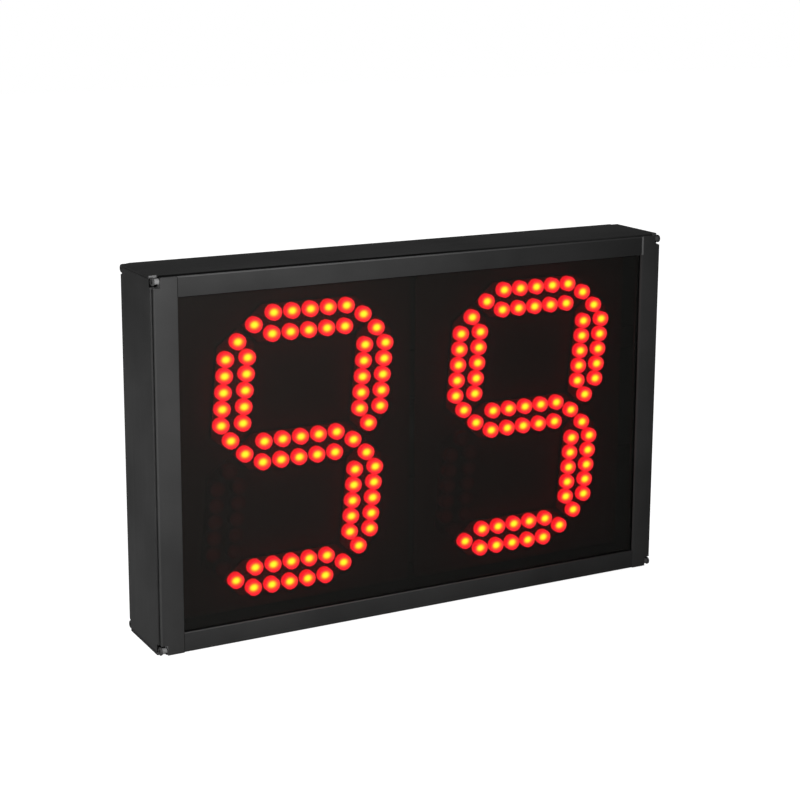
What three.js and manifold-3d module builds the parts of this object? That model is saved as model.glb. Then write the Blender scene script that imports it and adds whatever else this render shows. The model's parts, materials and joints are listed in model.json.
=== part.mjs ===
// Shot clock: two slanted seven-segment digits of round lamps behind a tinted window,
// in a flat case of four extruded aluminium profiles.
// Millimetres, +Z up, the front looks along -Y. The origin is the middle of the underside.

import * as THREE from 'three';
import { mergeVertices } from 'three/addons/utils/BufferGeometryUtils.js';
import Module from 'manifold-3d';

const wasm = await Module();
wasm.setup();

// Case
const caseWidth = 512;
const caseHeight = 330;
const caseDepth = 80;
const seat = 0.3;           // gap between a piece and what it seats on
const overrun = 6;          // how far a cutting tool runs past the face that it cuts

// Profiles: all four share one section, with wider strips on the uprights
const uprightFace = 22;     // visible width of the upright strips
const crossFace = 18.5;     // visible width of the top and bottom strips
const stripWall = 2.6;
const stripInset = 1.2;     // a strip's outer edge stands this far inside the skin
const stripRound = 1.6;
const skinWall = 2.5;
const slitWidth = 2.6;      // slit along the screw channel
const channelBore = 4.4;
const channelDepth = 4.6;   // skin to the middle of the channel
const lipWall = 2;
const panelWall = 4;        // window and rear panel
const panelGrip = 5;        // how far a panel reaches behind the strips

// Corner notches and the shoulder screws that stand in them
const notchReach = 7;
const notchHeight = 10;
const screwHeadLength = 1.8;
const screwHeadSink = 0.6;  // outer skin to the head's outer end
const screwShoulder = 2.5;  // radius of the bright shoulder
const screwLength = 30;
const screwRecess = 1.6;    // depth of the driving recess
const screwRecessRadius = 1.5;
const screwCrownShare = 0.86;

// Digits: lamps in two rows or columns of five, with one more at each tip
const rowPitch = 17.5;
const rowGap = 18.4;
const columnPitch = 14.4;
const columnGap = 20.3;
const columnStep = 14.25;   // a row's tip lamp to the line of the columns beside it
const lampsInRow = 5;
const segmentGap = 5.2;     // between the tips of an upper and a lower column
const slantShare = 0.0888;  // sideways lean for each unit of height

// Lamps, each in a round cup, and the moulded carriers that hold them
const cupRadius = 7.1;
const cupHeight = 6;
const lensRadius = 5;
const lensSink = 1.4;       // cup's rim to the lens's foot
const lensRise = 1;         // cup's rim to the lens's tip
const lensCrownShare = 0.5; // radius of the lens's flat crown
const lampSides = 8;
const carrierWall = 3;
const carrierMargin = 7.5;  // lamp centre to the carrier's long edge
const carrierTip = 10.8;    // lamp centre to the carrier's tip

// Digit boards
const boardSetback = 23;    // case front to the boards' front face
const boardWall = 1.6;
const boardEdge = 5;        // upright strip to a board's edge
const boardGap = 6;         // between the two boards
const boardRoom = 4.5;      // top or bottom strip to a board's edge
const boardRound = 4;

// Rails that carry the digit boards
const railSpacing = 120;
const railHeight = 20;
const railWall = 1.5;
const railDepth = 9;
const railTab = 14;         // length of the bent end tabs
const bossRadius = 4.5;
const bossHeight = 8;
const bossSpacing = 150;    // between one board's two bosses on a rail

// Power supply
const supplyRoom = 41;      // horn to the supply
const supplyWidth = 110;
const supplyHeight = 80;
const supplyClear = 12.2;   // digit boards to the supply
const coreLength = 56;
const coreRise = 44;
const terminalWidth = 12;
const terminalDepth = 15;

// Controller on its tray
const trayRoom = 34;        // horn to the tray
const trayWidth = 124;
const trayHeight = 84;
const trayWall = 2;
const postRadius = 3.5;
const postHeight = 8;
const postInset = 7;
const controllerInset = 3;  // tray edge to board edge
const chipWidth = 24;
const chipHeight = 12;
const chipDepth = 4;
const sinkWidth = 40;
const sinkHeight = 26;
const sinkBase = 3;
const finHeight = 14;
const finWall = 1.6;
const finCount = 6;

// Horn and its holes in the rear panel
const hornRadius = 34;
const hornFlange = 3;
const hornClear = 9.7;      // digit boards to the magnet
const hornMagnetRadius = 20;
const hornMagnetDepth = 11;
const hornConeRadius = 27;
const hornThroatRadius = 9;
const hornWall = 2.5;
const grilleHole = 2;       // radius of one hole
const grillePitch = 11;
const grilleRings = 2;

// Ventilation slots over the power supply
const ventCount = 9;
const ventPitch = 8;
const ventWidth = 3;
const ventHeight = 34;
const ventRise = 95;        // middle of the case to the middle of the slots

// Mains inlet with rocker and fuse drawer
const inletInset = 27.5;    // upright strip to the flange
const inletRoom = 7;        // bottom strip to the flange
const flangeWidth = 33;
const flangeWall = 2;
const inletWall = 3;
const inletDepth = 27;      // behind the panel's outer face
const coreWidth = 27;
const rockerWidth = 13;
const rockerReach = 9.6;    // pivot to the rocker's farthest edge
const rockerRise = 3.4;     // pivot to the ends of the rocker's face
const rockerDip = 1.6;      // how far the middle of the face dips
const rockerDrum = 7.5;
const rockerTiltDegrees = 10;
const rockerPinRadius = 1.2;
const rockerPinLength = 1.5;
const socketWidth = 24;
const socketHeight = 16;
const socketChamfer = 4;
const socketDepth = 15;
const pinWidth = 4;
const pinThickness = 2;
const pinLength = 10;
const pinTail = 6;
const pinSpacing = 14;
const earthDrop = 4;        // earth pin's offset from the other two
const drawerWidth = 22.4;
const drawerHeight = 6.4;
const drawerLength = 19;
const drawerPlateMargin = 1;
const drawerWall = 1.2;
const fuseLength = 18;
const fuseRadius = 2;

// Data sockets
const dataInset = 38;       // upright strip to the first flange
const dataRoom = 22;        // bottom strip to the flanges
const dataSpacing = 36;
const dataBarrel = 8;       // radius behind the flange
const dataFlange = 11;      // radius of the flange
const dataBore = 5.5;
const dataBoreDepth = 10;
const dataLength = 22;

// Keyhole plates for hanging the case on two wall screws
const hangerInset = 31;     // upright strip to the plate
const hangerRoom = 5;       // top strip to the plate
const hangerWidth = 36;
const hangerHeight = 46;
const hangerWall = 2;
const keyholeRadius = 5.5;
const keyslotRadius = 2.75;
const keyslotRise = 12;
const keyholeMargin = 4;    // clearance round the keyhole in the rear panel

// Leads inside the case
const powerLeadRadius = 2.2;
const signalLeadRadius = 1.6;
const dataLeadInset = 4;    // controller board's corner to the first data lead
const leadSag = 7;          // how far a lead stands off what it leaves
const ribbonWidth = 22;
const ribbonWall = 1.2;

// Places that follow from the sizes above
const halfWidth = caseWidth / 2;
const halfDepth = caseDepth / 2;
const midHeight = caseHeight / 2;
const slitMid = stripWall + slitWidth / 2;
const slitEnd = stripWall + slitWidth;
const lipFront = stripWall + panelWall + 2 * seat;
const lipBack = lipFront + lipWall;
const headRadius = slitMid - seat;
const notchDepth = 2 * slitMid;
const panelOuter = halfDepth - stripWall - seat;    // rear panel's outer face
const panelInner = panelOuter - panelWall;
const boardFront = -halfDepth + boardSetback;
const boardBack = boardFront + boardWall;
const boardWidth = halfWidth - uprightFace - boardEdge - boardGap / 2;
const boardHeight = caseHeight - 2 * (crossFace + boardRoom);
const digitSpacing = boardWidth + boardGap;
const digitSpan = (lampsInRow + 1) * rowPitch + 2 * columnStep;             // between the column lines
const bowlHeight = (lampsInRow + 1) * columnPitch + 2 * carrierTip + segmentGap;
const railFront = boardBack + seat + bossHeight;
const supplyX = hornRadius + supplyRoom + supplyWidth / 2;
const trayX = -(hornRadius + trayRoom + trayWidth / 2);
const dataX = -(halfWidth - uprightFace - dataInset - dataFlange);
const dataZ = crossFace + dataRoom + dataFlange;
const hangerX = halfWidth - uprightFace - hangerInset - hangerWidth / 2;
const keyholeOffset = (keyslotRise + keyslotRadius - keyholeRadius) / 2;
const hangerZ = caseHeight - crossFace - hangerRoom - hangerHeight / 2 - keyholeOffset;
const round = 2 * Math.PI;

// Finishes: colour, roughness, metalness
const finishes = {
  anodised: [0x2a2a2b, 0.45, 0.6],
  window: [0x101012, 0.12, 0],
  panel: [0x1c1c1d, 0.6, 0],
  board: [0x0d0f0e, 0.55, 0],
  lampLit: [0xff2418, 0.3, 0],
  lampDark: [0x3a0a0a, 0.3, 0],
  steel: [0xa9abad, 0.35, 1],
  zinc: [0xb4b4ae, 0.4, 1],
  plastic: [0x141414, 0.5, 0],
  green: [0x1f4a2c, 0.5, 0],
  glass: [0xd8e0e0, 0.1, 0],
  ribbon: [0x8a8d92, 0.6, 0],
  sink: [0x3a3c3e, 0.5, 0.8],
};

const shotClock = new THREE.Group();
shotClock.name = 'shot_clock';

function piece(name, geometry, finish, parent = shotClock) {
  const [color, roughness, metalness] = finishes[finish];
  const mesh = new THREE.Mesh(geometry, new THREE.MeshStandardMaterial({ color, roughness, metalness }));
  mesh.name = name;
  parent.add(mesh);
  return mesh;
}

// A closed mesh as a solid that can be joined and cut
function solidOf(geometry) {
  const bare = geometry.clone();
  bare.deleteAttribute('normal');
  bare.deleteAttribute('uv');
  const welded = mergeVertices(bare);
  const corners = welded.index.array;
  const kept = [];
  for (let i = 0; i < corners.length; i += 3) {
    const [a, b, c] = [corners[i], corners[i + 1], corners[i + 2]];
    if (a !== b && b !== c && c !== a) kept.push(a, b, c);
  }
  return new wasm.Manifold(new wasm.Mesh({
    numProp: 3,
    vertProperties: new Float32Array(welded.attributes.position.array),
    triVerts: new Uint32Array(kept),
  }));
}

function geometryOf(solid) {
  const mesh = solid.getMesh();
  const geometry = new THREE.BufferGeometry();
  geometry.setAttribute('position', new THREE.BufferAttribute(mesh.vertProperties, 3));
  geometry.setIndex(new THREE.BufferAttribute(mesh.triVerts, 1));
  geometry.computeVertexNormals();
  return geometry;
}

function cut(geometry, ...tools) {
  return geometryOf(tools.reduce((solid, tool) => solid.subtract(solidOf(tool)), solidOf(geometry)));
}

function join(geometry, ...others) {
  return geometryOf(others.reduce((solid, other) => solid.add(solidOf(other)), solidOf(geometry)));
}

// A box between two corners, given in any order
function block(x0, x1, y0, y1, z0, z1) {
  const box = new THREE.BoxGeometry(Math.abs(x1 - x0), Math.abs(y1 - y0), Math.abs(z1 - z0));
  return box.translate((x0 + x1) / 2, (y0 + y1) / 2, (z0 + z1) / 2);
}

function shapeOf(points) {
  return new THREE.Shape(points.map(([a, b]) => new THREE.Vector2(a, b)));
}

function extruded(points, length) {
  return new THREE.ExtrudeGeometry(shapeOf(points), { depth: length, bevelEnabled: false });
}

// Prisms along each axis, from an outline in the other two
function prismX(outlineYZ, x0, x1) {
  const turn = new THREE.Matrix4().makeBasis(
    new THREE.Vector3(0, 1, 0), new THREE.Vector3(0, 0, 1), new THREE.Vector3(1, 0, 0));
  return extruded(outlineYZ, x1 - x0).applyMatrix4(turn).translate(x0, 0, 0);
}

function prismY(outlineXZ, y0, y1) {
  return extruded(outlineXZ, y1 - y0).rotateX(Math.PI / 2).translate(0, y1, 0);
}

function prismZ(outlineXY, z0, z1) {
  return extruded(outlineXY, z1 - z0).translate(0, 0, z0);
}

// Points of an arc, both ends included
function arc(a, b, radius, from, to, steps) {
  return Array.from({ length: steps + 1 }, (_, i) => {
    const angle = from + (to - from) * i / steps;
    return [a + radius * Math.cos(angle), b + radius * Math.sin(angle)];
  });
}

function roundedBox(a, b, width, height, radius, steps = 3) {
  const quarter = Math.PI / 2;
  const corners = [[1, 1], [-1, 1], [-1, -1], [1, -1]];
  return corners.flatMap(([sa, sb], i) => arc(
    a + sa * (width / 2 - radius), b + sb * (height / 2 - radius),
    radius, i * quarter, (i + 1) * quarter, steps));
}

// A turned piece: its profile is [radius, height] from axis to axis, its axis is Z
function turned(profile, sides) {
  const points = profile.map(([radius, height]) => new THREE.Vector2(radius, height));
  return new THREE.LatheGeometry(points, sides).rotateX(Math.PI / 2);
}

function rodX(radius, x0, x1, y, z, sides = 12) {
  return prismX(arc(y, z, radius, 0, round, sides).slice(1), x0, x1);
}

function rodY(radius, y0, y1, x, z, sides = 12) {
  return prismY(arc(x, z, radius, 0, round, sides).slice(1), y0, y1);
}

// The section that all four profiles share: [inwards from the skin, backwards from the front].
// The front half runs from the skin round the screw channel, the strip and the panel groove.
function profileSection(face) {
  const bore = channelBore / 2;
  const mouth = Math.asin(slitWidth / 2 / bore);
  const grooveFloor = face - panelGrip - seat;
  const frontHalf = [
    [0, slitEnd],
    ...arc(channelDepth, slitMid, bore, Math.PI - mouth, mouth - Math.PI, 10),
    [stripInset, stripWall],
    ...arc(stripInset + stripRound, stripRound, stripRound, Math.PI, 1.5 * Math.PI, 4),
    [face, 0],
    [face, stripWall],
    [grooveFloor, stripWall],
    [grooveFloor, lipFront],
    [face, lipFront],
    [face, lipBack],
    [skinWall, lipBack],
  ];
  const rearHalf = frontHalf.map(([p, d]) => [p, caseDepth - d]).reverse();
  return [...frontHalf, ...rearHalf];
}

const sides = [-1, 1];
const atX = (side, p) => side * (halfWidth - p);
const atY = (side, d) => side * (halfDepth - d);
const atZ = (side, p) => (side > 0 ? caseHeight - p : p);

// One corner notch, in the corner where the three given sides meet
function notch(sideX, sideY, sideZ) {
  return block(
    atX(sideX, -overrun), atX(sideX, notchReach),
    atY(sideY, -overrun), atY(sideY, notchDepth),
    atZ(sideZ, -overrun), atZ(sideZ, notchHeight));
}

const corners = sides.flatMap((y) => sides.map((z) => [y, z]));

// Upright profile: strips run on past the blocks, so that the skins of the cross profiles cover the ends
function uprightProfile(side) {
  const outline = profileSection(uprightFace).map(([p, d]) => [atX(side, p), -halfDepth + d]);
  const bar = prismZ(outline, stripInset, caseHeight - stripInset);
  const ends = sides.map((z) => block(
    atX(side, -overrun), atX(side, uprightFace + overrun),
    atY(-1, stripWall), atY(1, stripWall),
    atZ(z, -overrun), atZ(z, skinWall + seat)));
  const notches = corners.map(([y, z]) => notch(side, y, z));
  const holes = corners.map(([y, z]) => {
    const ends = [atX(side, 0), atX(side, uprightFace + overrun)].sort((a, b) => a - b);
    return rodX(channelBore / 2, ends[0], ends[1], atY(y, slitMid), atZ(z, channelDepth));
  });
  return cut(bar, ...ends, ...notches, ...holes);
}

// Cross profile: the skin runs the whole width, all else stops at the uprights
function crossProfile(side) {
  const outline = profileSection(crossFace).map(([p, d]) => [-halfDepth + d, atZ(side, p)]);
  const bar = prismX(outline, -halfWidth, halfWidth);
  const tools = sides.flatMap((x) => {
    const from = atX(x, uprightFace + seat);
    const to = atX(x, -overrun);
    return [
      block(
        from, to, atY(-1, -overrun), atY(1, -overrun), atZ(side, skinWall), atZ(side, crossFace + overrun)),
      ...sides.map((y) => block(
        from, to, atY(y, -overrun), atY(y, slitEnd), atZ(side, -overrun), atZ(side, crossFace + overrun))),
      ...sides.map((y) => notch(x, y, side)),
    ];
  });
  return cut(bar, ...tools);
}

piece('side_profile_left', uprightProfile(-1), 'anodised');
piece('side_profile_right', uprightProfile(1), 'anodised');
piece('top_profile', crossProfile(1), 'anodised');
piece('bottom_profile', crossProfile(-1), 'anodised');

// Shoulder screws, one in each notch, threaded into the channels of the cross profiles
function cornerScrew() {
  const seatAt = notchReach + seat;
  const shank = channelBore / 2 - seat;
  const headEnd = screwHeadSink + screwHeadLength;
  return turned([
    [0, -(screwHeadSink + screwRecess)],
    [screwRecessRadius, -(screwHeadSink + screwRecess)],
    [screwRecessRadius, -screwHeadSink],
    [headRadius * screwCrownShare, -screwHeadSink],
    [headRadius, -(screwHeadSink + screwHeadLength / 3)],
    [headRadius, -headEnd],
    [screwShoulder, -headEnd],
    [screwShoulder, -seatAt + 2 * seat],
    [shank, -seatAt + 2 * seat],
    [shank, -screwLength],
    [0, -screwLength],
  ].reverse(), 12).rotateY(Math.PI / 2);
}

const screw = cornerScrew();
for (const x of sides) {
  for (const [y, z] of corners) {
    const where = [x < 0 ? 'left' : 'right', y < 0 ? 'front' : 'rear', z < 0 ? 'lower' : 'upper'].join('_');
    const mesh = piece(`corner_screw_${where}`, screw, 'zinc');
    mesh.position.set(x * halfWidth, atY(y, slitMid), atZ(z, channelDepth));
    if (x < 0) mesh.rotation.z = Math.PI;
  }
}

// Window and rear panel slide in the grooves
const panelWidth = 2 * (halfWidth - uprightFace + panelGrip);
const panelHeight = caseHeight - 2 * (crossFace - panelGrip);

function panelSheet(y0, y1) {
  return block(
    -panelWidth / 2, panelWidth / 2, y0, y1, midHeight - panelHeight / 2, midHeight + panelHeight / 2);
}

piece('front_window', panelSheet(-panelOuter, -panelInner), 'window');

// Keyhole outline: a round hole below, a slot above
function keyhole(x, z) {
  const lean = Math.asin(keyslotRadius / keyholeRadius);
  return [
    ...arc(x, z, keyholeRadius, Math.PI / 2 + lean, 2.5 * Math.PI - lean, 12),
    ...arc(x, z + keyslotRise, keyslotRadius, 0, Math.PI, 6),
  ];
}

// Mains inlet, from top to bottom: rocker, socket, fuse drawer
const rockerPocket = 2 * (rockerReach + seat);
const drawerPocket = drawerHeight + 2 * seat;
const coreHeight = rockerPocket + socketHeight + drawerPocket + 4 * inletWall;
const flangeHeight = coreHeight + flangeWidth - coreWidth;
const inletX = halfWidth - uprightFace - inletInset - flangeWidth / 2;
const inletZ = crossFace + inletRoom + flangeHeight / 2;
const coreTop = inletZ + coreHeight / 2;
const rockerZ = coreTop - inletWall - rockerPocket / 2;
const socketZ = rockerZ - rockerPocket / 2 - inletWall - socketHeight / 2;
const drawerZ = socketZ - socketHeight / 2 - inletWall - drawerPocket / 2;
const tilt = THREE.MathUtils.degToRad(rockerTiltDegrees);
const flangeOuter = panelOuter + seat + flangeWall;
const inletBack = panelOuter - inletDepth;
const rockerY = flangeOuter - rockerRise * Math.cos(tilt) - rockerReach * Math.sin(tilt) + seat;

function hornHoles() {
  const holes = [];
  for (let row = -grilleRings; row <= grilleRings; row += 1) {
    const count = 2 * grilleRings + 1 - Math.abs(row);
    for (let i = 0; i < count; i += 1) {
      const x = (i - (count - 1) / 2) * grillePitch;
      const z = midHeight + row * grillePitch * Math.sin(Math.PI / 3);
      holes.push(rodY(grilleHole, panelInner - overrun, panelOuter + overrun, x, z, 8));
    }
  }
  return holes;
}

function rearPanel() {
  const y0 = panelInner - overrun;
  const y1 = panelOuter + overrun;
  const clearKeyhole = (x) => block(
    x - keyholeRadius - keyholeMargin, x + keyholeRadius + keyholeMargin, y0, y1,
    hangerZ - keyholeRadius - keyholeMargin, hangerZ + keyslotRise + keyslotRadius + keyholeMargin);
  const vents = Array.from({ length: ventCount }, (_, i) => {
    const x = supplyX + (i - (ventCount - 1) / 2) * ventPitch;
    const z = midHeight + ventRise;
    return block(x - ventWidth / 2, x + ventWidth / 2, y0, y1, z - ventHeight / 2, z + ventHeight / 2);
  });
  return cut(
    panelSheet(panelInner, panelOuter),
    block(inletX - coreWidth / 2 - seat, inletX + coreWidth / 2 + seat, y0, y1,
      inletZ - coreHeight / 2 - seat, inletZ + coreHeight / 2 + seat),
    ...sides.map((s) => rodY(dataBarrel + seat, y0, y1, dataX + dataSpacing * (s + 1) / 2, dataZ, 20)),
    ...sides.map((s) => clearKeyhole(s * hangerX)),
    ...vents,
    ...hornHoles(),
  );
}

piece('rear_panel', rearPanel(), 'panel');

// Socket outline with its two cut corners
function socketOutline(grow) {
  const w = socketWidth / 2 + grow;
  const h = socketHeight / 2 + grow;
  return [
    [-w, -h], [w, -h], [w, h - socketChamfer], [w - socketChamfer, h],
    [-w + socketChamfer, h], [-w, h - socketChamfer],
  ].map(([x, z]) => [inletX + x, socketZ + z]);
}

const pinPlaces = {
  live: [-pinSpacing / 2, -earthDrop / 2],
  neutral: [pinSpacing / 2, -earthDrop / 2],
  earth: [0, earthDrop / 2],
};

function inletPin(x, z, grow, y0, y1) {
  return block(
    inletX + x - pinThickness / 2 - grow, inletX + x + pinThickness / 2 + grow, y0, y1,
    socketZ + z - pinWidth / 2 - grow, socketZ + z + pinWidth / 2 + grow);
}

function mainsInlet() {
  const core = block(
    inletX - coreWidth / 2, inletX + coreWidth / 2, inletBack, flangeOuter,
    inletZ - coreHeight / 2, inletZ + coreHeight / 2);
  const flange = prismY(
    roundedBox(inletX, inletZ, flangeWidth, flangeHeight, inletWall), panelOuter + seat, flangeOuter);
  const pocketHalf = rockerWidth / 2 + seat;
  const pinHole = pocketHalf + rockerPinLength + seat;
  const plate = drawerPlateMargin + seat;
  return cut(
    join(core, flange),
    block(inletX - pocketHalf, inletX + pocketHalf, rockerY - rockerDrum - 2 * seat, flangeOuter + overrun,
      rockerZ - rockerPocket / 2, rockerZ + rockerPocket / 2),
    rodX(rockerPinRadius + seat / 2, inletX - pinHole, inletX + pinHole, rockerY, rockerZ),
    prismY(socketOutline(0), flangeOuter - socketDepth, flangeOuter + overrun),
    ...Object.values(pinPlaces).map(([x, z]) => inletPin(x, z, seat, inletBack - overrun, flangeOuter)),
    block(inletX - drawerWidth / 2 - seat, inletX + drawerWidth / 2 + seat,
      flangeOuter - drawerLength - seat, flangeOuter + overrun,
      drawerZ - drawerPocket / 2, drawerZ + drawerPocket / 2),
    block(inletX - drawerWidth / 2 - plate, inletX + drawerWidth / 2 + plate,
      flangeOuter - flangeWall, flangeOuter + overrun,
      drawerZ - drawerHeight / 2 - plate, drawerZ + drawerHeight / 2 + plate),
  );
}

piece('mains_inlet', mainsInlet(), 'plastic');

for (const [name, [x, z]] of Object.entries(pinPlaces)) {
  const floor = flangeOuter - socketDepth;
  piece(`inlet_pin_${name}`, inletPin(x, z, 0, inletBack - pinTail, floor + pinLength), 'steel');
}

// Rocker in its on position: a drum with a dipped face, turned by half its travel
function powerRocker() {
  const rim = Math.sqrt(rockerReach ** 2 - rockerRise ** 2);
  const drumEdge = Math.acos(rockerDrum / rockerReach) / 2;
  const face = [[rockerRise, -rim], [rockerRise - rockerDip, 0], [rockerRise, rim]];
  const back = arc(0, 0, rockerDrum, Math.PI / 2 + drumEdge, 1.5 * Math.PI - drumEdge, 10);
  const body = prismX([...face, ...back], -rockerWidth / 2, rockerWidth / 2);
  const reach = rockerWidth / 2 + rockerPinLength;
  return join(body, rodX(rockerPinRadius, -reach, reach, 0, 0));
}

const rocker = piece('power_rocker', powerRocker(), 'plastic');
rocker.position.set(inletX, rockerY, rockerZ);
rocker.rotation.x = -tilt;

// Fuse drawer, a tray behind a plate, and its fuse lying across it
const drawerTop = drawerZ + drawerHeight / 2;
const fuseY = flangeOuter - drawerLength + drawerWall + seat + fuseRadius;

function fuseDrawer() {
  const plateOuter = flangeOuter + seat;
  const plateWidth = drawerWidth + 2 * drawerPlateMargin;
  const plateHeight = drawerHeight + 2 * drawerPlateMargin;
  const plate = prismY(
    roundedBox(inletX, drawerZ, plateWidth, plateHeight, drawerPlateMargin),
    flangeOuter - flangeWall + seat, plateOuter);
  const tray = block(
    inletX - drawerWidth / 2, inletX + drawerWidth / 2,
    flangeOuter - drawerLength, flangeOuter - flangeWall + 2 * seat,
    drawerZ - drawerHeight / 2, drawerTop);
  const bed = block(
    inletX - fuseLength / 2 - seat, inletX + fuseLength / 2 + seat,
    fuseY - fuseRadius - seat, fuseY + fuseRadius + seat,
    drawerZ - drawerHeight / 2 + drawerWall, drawerTop + overrun);
  const thumb = rodX(drawerWall, inletX - drawerWidth / 4, inletX + drawerWidth / 4,
    plateOuter, drawerTop - drawerWall);
  return cut(join(plate, tray), bed, thumb);
}

piece('fuse_drawer', fuseDrawer(), 'plastic');
piece('fuse', rodX(fuseRadius, inletX - fuseLength / 2, inletX + fuseLength / 2,
  fuseY, drawerZ - drawerHeight / 2 + drawerWall + seat + fuseRadius), 'glass');

// Data sockets: a flanged barrel with a round bore
function dataSocket() {
  return turned([
    [0, -dataLength],
    [dataBarrel, -dataLength],
    [dataBarrel, seat],
    [dataFlange, seat],
    [dataFlange, seat + flangeWall / 2],
    [dataFlange - flangeWall / 2, seat + flangeWall],
    [dataBore, seat + flangeWall],
    [dataBore, flangeWall - dataBoreDepth],
    [0, flangeWall - dataBoreDepth],
  ], 20).rotateX(-Math.PI / 2);
}

const dataNames = ['data_socket_in', 'data_socket_out'];
dataNames.forEach((name, i) => {
  piece(name, dataSocket(), 'steel').position.set(dataX + i * dataSpacing, panelOuter, dataZ);
});

// Keyhole plates on the rear panel
function hangerPlate(x) {
  const inner = panelOuter + seat;
  const outline = roundedBox(x, hangerZ + keyholeOffset, hangerWidth, hangerHeight, keyholeMargin);
  const opening = prismY(keyhole(x, hangerZ), panelOuter, inner + hangerWall + overrun);
  return cut(prismY(outline, inner, inner + hangerWall), opening);
}

piece('hanger_plate_left', hangerPlate(-hangerX), 'zinc');
piece('hanger_plate_right', hangerPlate(hangerX), 'zinc');

// One segment: a carrier plate with its lamps, looking along -Y, in the digit's own frame
function lampPlaces(across) {
  const pitch = across ? rowPitch : columnPitch;
  const gap = across ? rowGap : columnGap;
  const reach = (lampsInRow + 1) / 2;
  const places = [[-reach * pitch, 0], [reach * pitch, 0]];
  for (let i = 0; i < lampsInRow; i += 1) {
    const along = (i - (lampsInRow - 1) / 2) * pitch;
    places.push([along, gap / 2], [along, -gap / 2]);
  }
  return places.map(([along, aside]) => (across ? [along, aside] : [aside, along]));
}

function carrierOutline(across) {
  const pitch = across ? rowPitch : columnPitch;
  const gap = across ? rowGap : columnGap;
  const tip = (lampsInRow + 1) / 2 * pitch + carrierTip;
  const shoulder = (lampsInRow - 1) / 2 * pitch + carrierTip;
  const half = gap / 2 + carrierMargin;
  const outline = [
    [tip, 0], [shoulder, half], [-shoulder, half], [-tip, 0], [-shoulder, -half], [shoulder, -half],
  ];
  return outline.map(([along, aside]) => (across ? [along, aside] : [aside, along]));
}

const carrierBack = boardFront - seat;
const carrierFront = carrierBack - carrierWall;

function lamp(x, z) {
  const cup = turned([
    [0, -carrierWall / 2],
    [cupRadius, -carrierWall / 2],
    [cupRadius, cupHeight],
    [lensRadius, cupHeight - lensSink],
    [lensRadius * lensCrownShare, cupHeight + lensRise],
    [0, cupHeight + lensRise],
  ], lampSides);
  return cup.rotateX(Math.PI / 2).translate(x, carrierFront, z);
}

function segment(across, x, z) {
  const place = ([a, b]) => [x + a + slantShare * (z + b), z + b];
  const carrier = prismY(carrierOutline(across).map(place), carrierFront, carrierBack);
  return join(carrier, ...lampPlaces(across).map(place).map(([a, b]) => lamp(a, b)));
}

const segmentPlaces = {
  a: [true, 0, bowlHeight],
  b: [false, digitSpan / 2, bowlHeight / 2],
  c: [false, digitSpan / 2, -bowlHeight / 2],
  d: [true, 0, -bowlHeight],
  e: [false, -digitSpan / 2, -bowlHeight / 2],
  f: [false, -digitSpan / 2, bowlHeight / 2],
  g: [true, 0, 0],
};

for (const side of sides) {
  const hand = side < 0 ? 'left' : 'right';
  const digit = new THREE.Group();
  digit.position.set(side * digitSpacing / 2, 0, midHeight);
  shotClock.add(digit);
  const board = prismY(roundedBox(0, 0, boardWidth, boardHeight, boardRound), boardFront, boardBack);
  piece(`digit_board_${hand}`, board, 'board', digit);
  for (const [letter, place] of Object.entries(segmentPlaces)) {
    piece(`segment_${hand}_${letter}`, segment(...place), letter === 'e' ? 'lampDark' : 'lampLit', digit);
  }
}

// Rails: a channel with bent end tabs against the skins and four bosses for the boards
function boardRail(z) {
  const reach = halfWidth - skinWall - seat;
  const low = z - railHeight / 2;
  const high = z + railHeight / 2;
  const channel = [
    [railFront, low], [railFront + railDepth, low], [railFront + railDepth, low + railWall],
    [railFront + railWall, low + railWall], [railFront + railWall, high - railWall],
    [railFront + railDepth, high - railWall], [railFront + railDepth, high], [railFront, high],
  ];
  const tabs = sides.map((s) => block(
    s * reach, s * (reach - railWall), railFront, railFront + railTab, low, high));
  const bosses = sides.flatMap((s) => sides.map((t) => rodY(
    bossRadius, boardBack + seat, railFront + railWall / 2, s * digitSpacing / 2 + t * bossSpacing / 2, z)));
  return join(prismX(channel, -reach, reach), ...tabs, ...bosses);
}

piece('board_rail_upper', boardRail(midHeight + railSpacing / 2), 'steel');
piece('board_rail_lower', boardRail(midHeight - railSpacing / 2), 'steel');

// Power supply: a thin cage, open towards the rear panel, with a step for its terminals and a core inside
const supplyRear = panelInner - seat;
const supplyFront = boardBack + supplyClear;
const supplyLeft = supplyX - supplyWidth / 2;
const stepRight = supplyLeft + terminalWidth + 2 * seat;
const stepRear = supplyFront + terminalDepth + seat;

function powerSupply() {
  const low = midHeight - supplyHeight / 2;
  const high = midHeight + supplyHeight / 2;
  const right = supplyLeft + supplyWidth;
  const cage = block(supplyLeft, right, supplyFront, supplyRear, low, high);
  const step = block(
    supplyLeft - overrun, stepRight, supplyFront - overrun, stepRear, low + skinWall, high - skinWall);
  const behindStep = block(
    supplyLeft + railWall, right - railWall, stepRear + railWall, supplyRear + overrun,
    low + railWall, high - railWall);
  const besideStep = block(
    stepRight + railWall, right - railWall, supplyFront + railWall, supplyRear + overrun,
    low + railWall, high - railWall);
  return cut(cage, step, behindStep, besideStep);
}

const terminalHeight = supplyHeight - 2 * (skinWall + 2 * seat);

piece('power_supply', powerSupply(), 'steel');
piece('supply_core', block(
  supplyX - coreLength / 2, supplyX + coreLength / 2, supplyFront + railWall + seat, supplyRear - railWall,
  midHeight - coreRise / 2, midHeight + coreRise / 2), 'plastic');
piece('supply_terminals', block(
  supplyLeft + seat, supplyLeft + seat + terminalWidth, supplyFront + 2 * seat, supplyFront + terminalDepth,
  midHeight - terminalHeight / 2, midHeight + terminalHeight / 2), 'plastic');

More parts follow.
